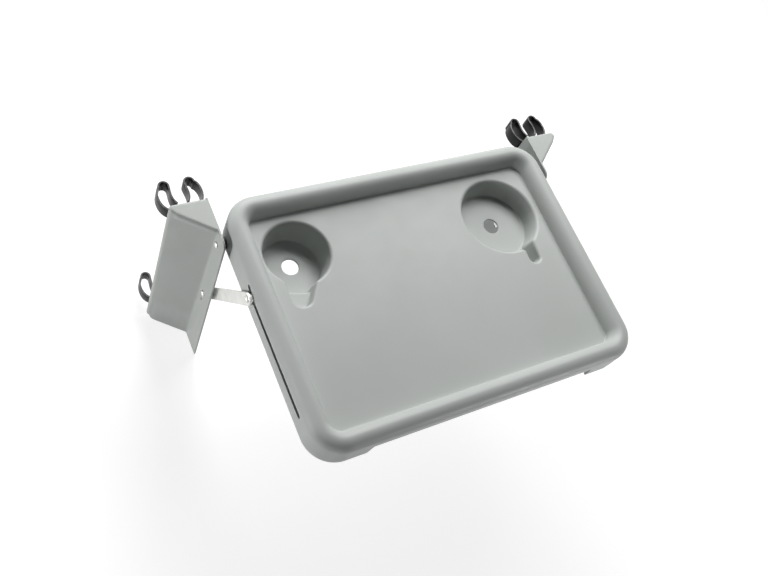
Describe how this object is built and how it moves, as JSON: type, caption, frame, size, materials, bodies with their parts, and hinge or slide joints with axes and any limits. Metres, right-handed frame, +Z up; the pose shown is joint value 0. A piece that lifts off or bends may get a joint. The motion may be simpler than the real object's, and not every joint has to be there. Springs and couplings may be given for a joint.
{
  "type": "walker tray",
  "caption": "Folding moulded tray with cup wells, hung between side brackets that clip to the legs of a walking frame.",
  "frame": {"origin": "midway between the axes of the two walker legs, at the middle height of the clips", "axes": "+X to the right from behind the walker, +Y to the rear towards the user, +Z up with the tray level"},
  "size_m": [0.5264, 0.3491, 0.276],
  "materials": {
    "grey_plastic": "satin moulded",
    "grey_paint": "smooth satin paint",
    "black_spring": "black, half gloss",
    "black_plastic": "matt",
    "zinc": "bright zinc plate"
  },
  "bodies": {
    "left_bracket": {"left_flange_plate": "grey_paint", "left_angle_panel": "grey_paint", "left_upper_leg_clip": "black_spring", "left_lower_leg_clip": "black_spring", "left_upper_clip_rivet": "zinc", "left_lower_clip_rivet": "zinc", "left_pivot_rivet": "zinc", "left_pivot_spacer": "black_plastic", "left_link_rivet": "zinc", "left_link_spacer": "zinc"},
    "tray": {"tray": "grey_plastic", "left_pivot_washer": "zinc", "right_pivot_washer": "zinc"},
    "right_bracket": {"right_flange_plate": "grey_paint", "right_angle_panel": "grey_paint", "right_upper_leg_clip": "black_spring", "right_lower_leg_clip": "black_spring", "right_upper_clip_rivet": "zinc", "right_lower_clip_rivet": "zinc", "right_pivot_rivet": "zinc", "right_pivot_spacer": "black_plastic", "right_link_rivet": "zinc", "right_link_spacer": "zinc"},
    "left_link": {"left_link_bar": "zinc", "left_link_end_rivet": "zinc"},
    "left_slot_pin": {"left_slot_pin": "zinc", "left_slot_pin_washer": "zinc"},
    "right_link": {"right_link_bar": "zinc", "right_link_end_rivet": "zinc"},
    "right_slot_pin": {"right_slot_pin": "zinc", "right_slot_pin_washer": "zinc"}
  },
  "joints": [
    {"name": "tray_fold", "type": "hinge", "parent": "left_bracket", "child": "tray", "pos_m": [-0.217, -0.0681, 0.1065], "axis": [1, 0, 0], "range_deg": [0, 53]},
    {"name": "right_bracket_turn", "type": "hinge", "parent": "tray", "child": "right_bracket", "pos_m": [0.217, -0.0681, 0.1065], "axis": [1, 0, 0], "range_deg": [-53, 0]},
    {"name": "left_link_turn", "type": "hinge", "parent": "left_bracket", "child": "left_link", "pos_m": [-0.21225, -0.0726, -0.003], "axis": [1, 0, 0], "range_deg": [0, 80.8]},
    {"name": "left_pin_slide", "type": "slide", "parent": "tray", "child": "left_slot_pin", "axis": [0, -1, 0], "range_m": [0, 0.1348]},
    {"name": "right_link_turn", "type": "hinge", "parent": "right_bracket", "child": "right_link", "pos_m": [0.21225, -0.0726, -0.003], "axis": [1, 0, 0], "range_deg": [0, 80.8]},
    {"name": "right_pin_slide", "type": "slide", "parent": "tray", "child": "right_slot_pin", "axis": [0, -1, 0], "range_m": [0, 0.1348]}
  ],
  "couplings": [
    {"joint": "right_bracket_turn", "follows": "tray_fold", "ratio": -1},
    {"joint": "left_link_turn", "follows": "tray_fold", "ratio": 1.5235},
    {"joint": "left_pin_slide", "follows": "tray_fold", "m_per_rad": 0.14568},
    {"joint": "right_link_turn", "follows": "tray_fold", "ratio": 1.5235},
    {"joint": "right_pin_slide", "follows": "tray_fold", "m_per_rad": 0.14568}
  ]
}
